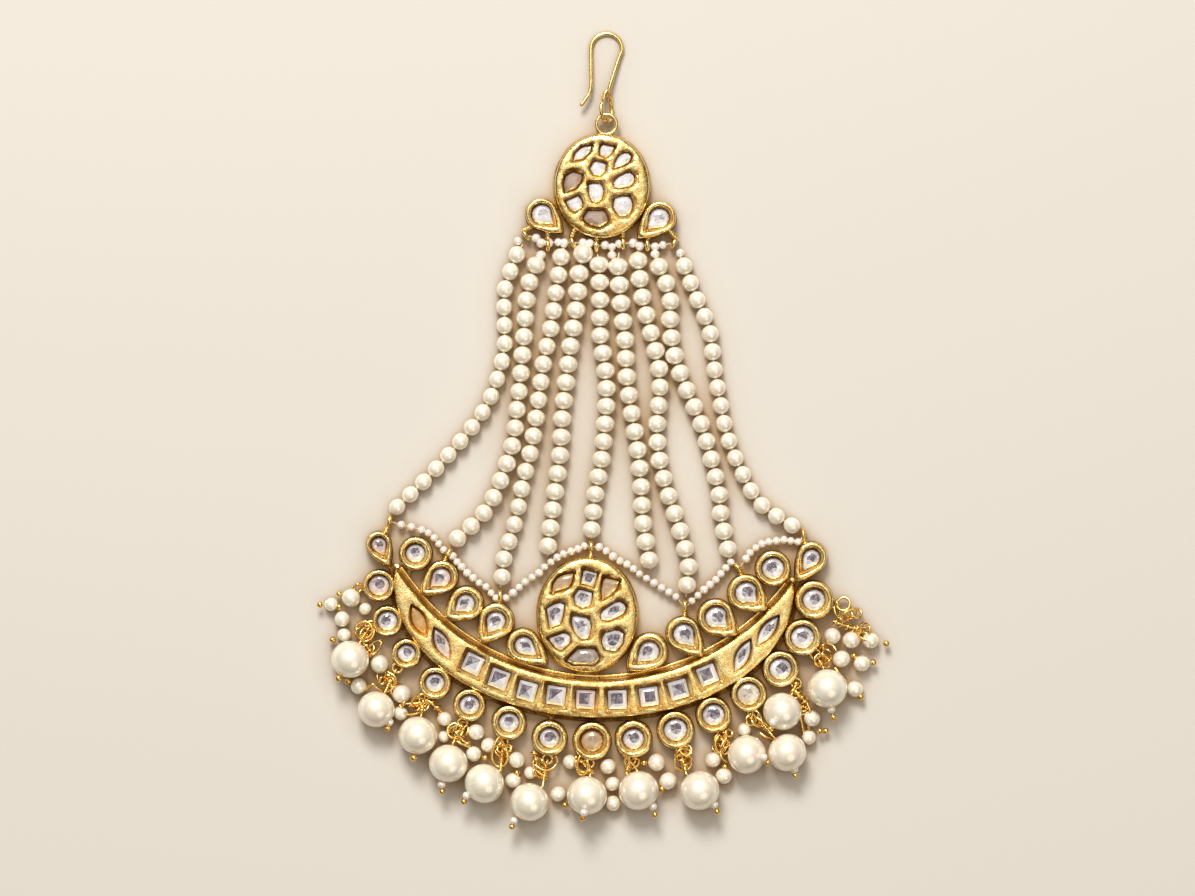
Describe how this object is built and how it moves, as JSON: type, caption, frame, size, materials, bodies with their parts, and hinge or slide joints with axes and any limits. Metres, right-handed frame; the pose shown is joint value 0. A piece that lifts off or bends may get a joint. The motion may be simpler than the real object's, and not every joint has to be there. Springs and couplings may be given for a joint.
{
  "type": "passa jhoomar headpiece",
  "caption": "Side headpiece: a stone set medallion with a hair hook, strings of pearls, and a stone set crescent with a medallion and pearl drops.",
  "frame": {"origin": "on the flat back of the lower setting, under the middle of the crescent", "axes": "+X across the jewel, +Y up the strings towards the hair hook, +Z out of the face"},
  "size_m": [0.111, 0.1583, 0.008],
  "materials": {
    "setting_gilt": "antique gold plate, satin on the raised faces, brown in the recesses",
    "hook_gilt": "smooth gold plated wire",
    "wire_gilt": "bright gold plated wire",
    "foiled_stone": "cut stones backed with silver, pink and brown foil",
    "pearl": "ivory pearl lustre",
    "seed_pearl": "pinkish white seed pearls on a thread",
    "thread": "fine beading thread"
  },
  "bodies": {
    "root": {"top_setting": "setting_gilt", "top_stones": "foiled_stone", "upper_seed_rows": "seed_pearl", "lower_seed_rows": "seed_pearl", "lower_setting": "setting_gilt", "crescent_stones": "foiled_stone", "medallion_stones": "foiled_stone", "upper_row_stones": "foiled_stone", "lower_row_stones": "foiled_stone", "small_pearls_left": "pearl", "small_pearls_middle": "pearl", "small_pearls_right": "pearl", "strand_1": "pearl", "thread_1": "thread", "strand_2": "pearl", "thread_2": "thread", "strand_3": "pearl", "thread_3": "thread", "strand_4": "pearl", "thread_4": "thread", "strand_5": "pearl", "thread_5": "thread", "strand_6": "pearl", "thread_6": "thread", "strand_7": "pearl", "thread_7": "thread", "strand_8": "pearl", "thread_8": "thread", "strand_9": "pearl", "thread_9": "thread", "large_pearl_1": "pearl", "drop_stem_1": "wire_gilt", "large_pearl_2": "pearl", "drop_stem_2": "wire_gilt", "large_pearl_3": "pearl", "drop_stem_3": "wire_gilt", "large_pearl_4": "pearl", "drop_stem_4": "wire_gilt", "large_pearl_5": "pearl", "drop_stem_5": "wire_gilt", "large_pearl_6": "pearl", "drop_stem_6": "wire_gilt", "large_pearl_7": "pearl", "drop_stem_7": "wire_gilt", "large_pearl_8": "pearl", "drop_stem_8": "wire_gilt", "large_pearl_9": "pearl", "drop_stem_9": "wire_gilt", "large_pearl_10": "pearl", "drop_stem_10": "wire_gilt", "large_pearl_11": "pearl", "drop_stem_11": "wire_gilt", "large_pearl_12": "pearl", "drop_stem_12": "wire_gilt", "large_pearl_13": "pearl", "drop_stem_13": "wire_gilt"},
    "hook": {"hair_hook": "hook_gilt"}
  },
  "joints": [
    {"name": "hook_swing", "type": "hinge", "parent": "root", "child": "hook", "pos_m": [0.0019, 0.1169, 0.0023], "axis": [1, 0, 0], "range_deg": [0, 120]}
  ]
}
